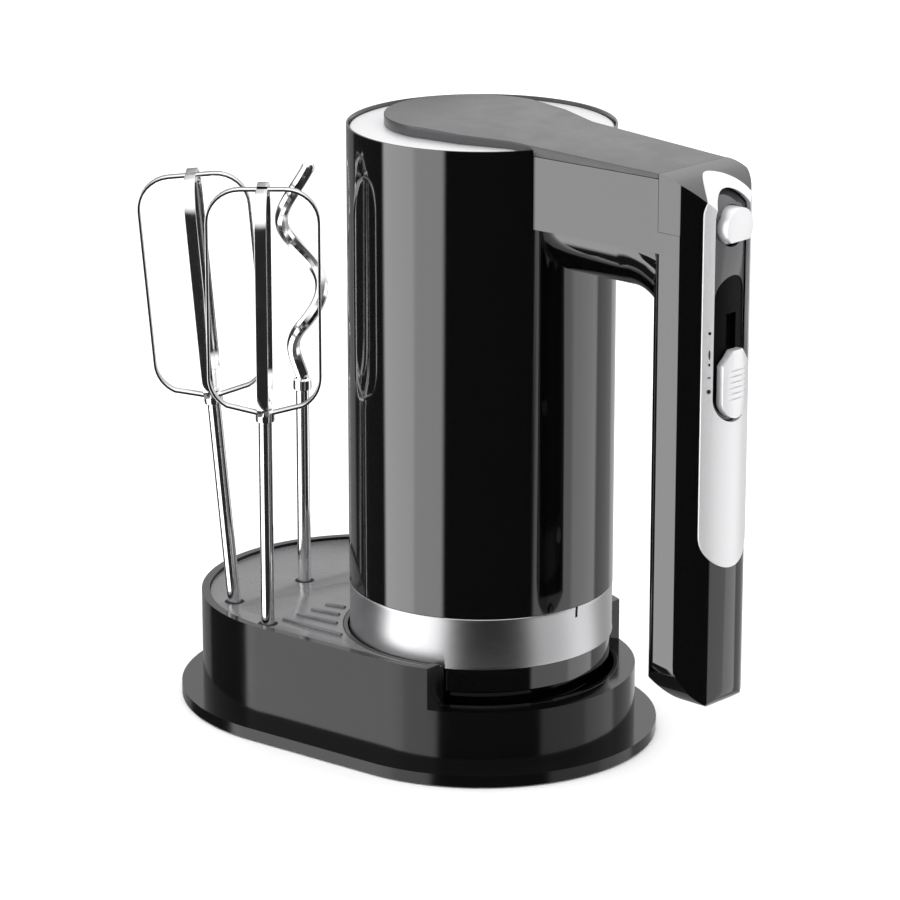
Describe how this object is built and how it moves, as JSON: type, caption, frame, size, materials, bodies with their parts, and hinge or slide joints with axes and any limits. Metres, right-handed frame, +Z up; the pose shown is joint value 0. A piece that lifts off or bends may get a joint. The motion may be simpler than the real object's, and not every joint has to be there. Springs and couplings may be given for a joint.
{
  "type": "hand mixer",
  "caption": "Upright hand mixer with a round motor body, hooked handle and slider, standing in a dock that parks its wire beaters and dough hooks.",
  "frame": {"origin": "centre of the round rubber foot under the motor body, on the table", "axes": "+Z up along the motor body's axis, +X from the body to the handle, -X to the parked attachments"},
  "size_m": [0.2456, 0.1404, 0.2293],
  "materials": {
    "dock_black": "satin black moulded plastic",
    "dock_deck_black": "polished dark grey plastic with moulded ribs",
    "rubber_black": "soft black rubber",
    "screw_steel": "zinc plated steel",
    "gloss_black": "piano black gloss plastic",
    "cover_black": "piano black gloss plastic",
    "inlay_black": "deep gloss black plastic",
    "deck_silver": "bright silver plate",
    "panel_silver": "satin silver plated plastic",
    "control_silver": "polished silver plated plastic",
    "brushed_band": "stainless steel brushed round the body",
    "attachment_chrome": "mirror chrome plated steel",
    "gear_nylon": "natural nylon",
    "works_steel": "plain steel",
    "works_plastic": "glass filled nylon",
    "copper_winding": "enamelled copper",
    "bearing_bronze": "sintered bronze and brass",
    "carbon": "pressed carbon",
    "board_green": "glass fibre board",
    "lead_sheath": "insulated leads"
  },
  "bodies": {
    "dock": {"dock_shell": "dock_black", "dock_deck": "dock_deck_black", "dock_cradle": "dock_black", "dock_base_plate": "dock_deck_black", "dock_feet": "rubber_black", "dock_screws": "screw_steel"},
    "mixer": {"body_shell": "gloss_black", "deck_plate": "deck_silver", "top_cover": "cover_black", "handle_cover": "gloss_black", "steel_band": "brushed_band", "nose_cap": "gloss_black", "spindle_seals": "rubber_black", "gear_plate_lower": "works_steel", "gear_plate_upper": "works_steel", "gear_plate_screws": "screw_steel", "intermediate_pin": "screw_steel", "motor_bracket_lower": "works_plastic", "motor_bracket_upper": "works_plastic", "motor_bearings": "bearing_bronze", "stator_core": "works_steel", "field_coils": "copper_winding", "motor_bolts": "screw_steel", "brush_holders": "bearing_bronze", "carbon_brushes": "carbon", "circuit_board": "board_green", "inner_leads": "lead_sheath", "switch_block": "works_plastic", "cord_gland": "rubber_black", "control_panel": "panel_silver", "control_inlay": "inlay_black", "handle_screws": "screw_steel", "nose_screws": "screw_steel", "eject_guides": "works_plastic", "ejector_spring": "works_steel"},
    "speed_control": {"speed_slider": "control_silver"},
    "eject_control": {"eject_button": "control_silver", "eject_bar": "gear_nylon"},
    "ejector": {"ejector_bridge": "works_steel"},
    "rotor": {"motor_shaft": "works_steel", "armature_core": "works_steel", "armature_windings": "copper_winding", "commutator": "copper_winding", "cooling_fan": "gear_nylon", "motor_pinion": "bearing_bronze"},
    "intermediate": {"intermediate_gear": "gear_nylon"},
    "left_drive": {"spindle_left": "works_steel", "spindle_gear_left": "gear_nylon"},
    "right_drive": {"spindle_right": "works_steel", "spindle_gear_right": "gear_nylon"},
    "outer_beater": {"beater_outer": "attachment_chrome"},
    "front_beater": {"beater_front": "attachment_chrome"},
    "near_hook": {"dough_hook_near": "attachment_chrome"},
    "far_hook": {"dough_hook_far": "attachment_chrome"}
  },
  "joints": [
    {"name": "mixer_lift", "type": "slide", "parent": "dock", "child": "mixer", "axis": [0, 0, 1], "range_m": [0, 0.25]},
    {"name": "speed_slide", "type": "slide", "parent": "mixer", "child": "speed_control", "axis": [0, 0, 1], "range_m": [0, 0.02]},
    {"name": "eject_press", "type": "slide", "parent": "mixer", "child": "eject_control", "axis": [-1, 0, 0], "range_m": [0, 0.005], "stiffness_N_per_m": 600, "springref_m": -0.002},
    {"name": "ejector_drop", "type": "slide", "parent": "mixer", "child": "ejector", "axis": [0, 0, -1], "range_m": [0, 0.005], "stiffness_N_per_m": 600, "springref_m": -0.002, "deforming": ["ejector_spring"]},
    {"name": "motor_spin", "type": "hinge", "parent": "mixer", "child": "rotor", "pos_m": [0, 0, 0.1], "axis": [0, 0, 1], "continuous": true},
    {"name": "intermediate_spin", "type": "hinge", "parent": "mixer", "child": "intermediate", "pos_m": [0.02076, -0.00596, 0.05], "axis": [0, 0, 1], "continuous": true},
    {"name": "left_spindle_spin", "type": "hinge", "parent": "mixer", "child": "left_drive", "pos_m": [0, -0.018, 0.05], "axis": [0, 0, 1], "continuous": true},
    {"name": "right_spindle_spin", "type": "hinge", "parent": "mixer", "child": "right_drive", "pos_m": [0, 0.018, 0.05], "axis": [0, 0, 1], "continuous": true},
    {"name": "outer_beater_pull", "type": "slide", "parent": "dock", "child": "outer_beater", "axis": [-0.0599, -0.0559, 0.9966], "range_m": [0, 0.1]},
    {"name": "front_beater_pull", "type": "slide", "parent": "dock", "child": "front_beater", "axis": [0, 0, 1], "range_m": [0, 0.1]},
    {"name": "near_hook_pull", "type": "slide", "parent": "dock", "child": "near_hook", "axis": [0, 0, 1], "range_m": [0, 0.1]},
    {"name": "far_hook_pull", "type": "slide", "parent": "dock", "child": "far_hook", "axis": [0, 0, 1], "range_m": [0, 0.1]}
  ],
  "couplings": [
    {"joint": "ejector_drop", "follows": "eject_press", "ratio": 1},
    {"joint": "intermediate_spin", "follows": "motor_spin", "ratio": -0.28571},
    {"joint": "left_spindle_spin", "follows": "motor_spin", "ratio": 0.095238},
    {"joint": "right_spindle_spin", "follows": "motor_spin", "ratio": -0.095238}
  ]
}
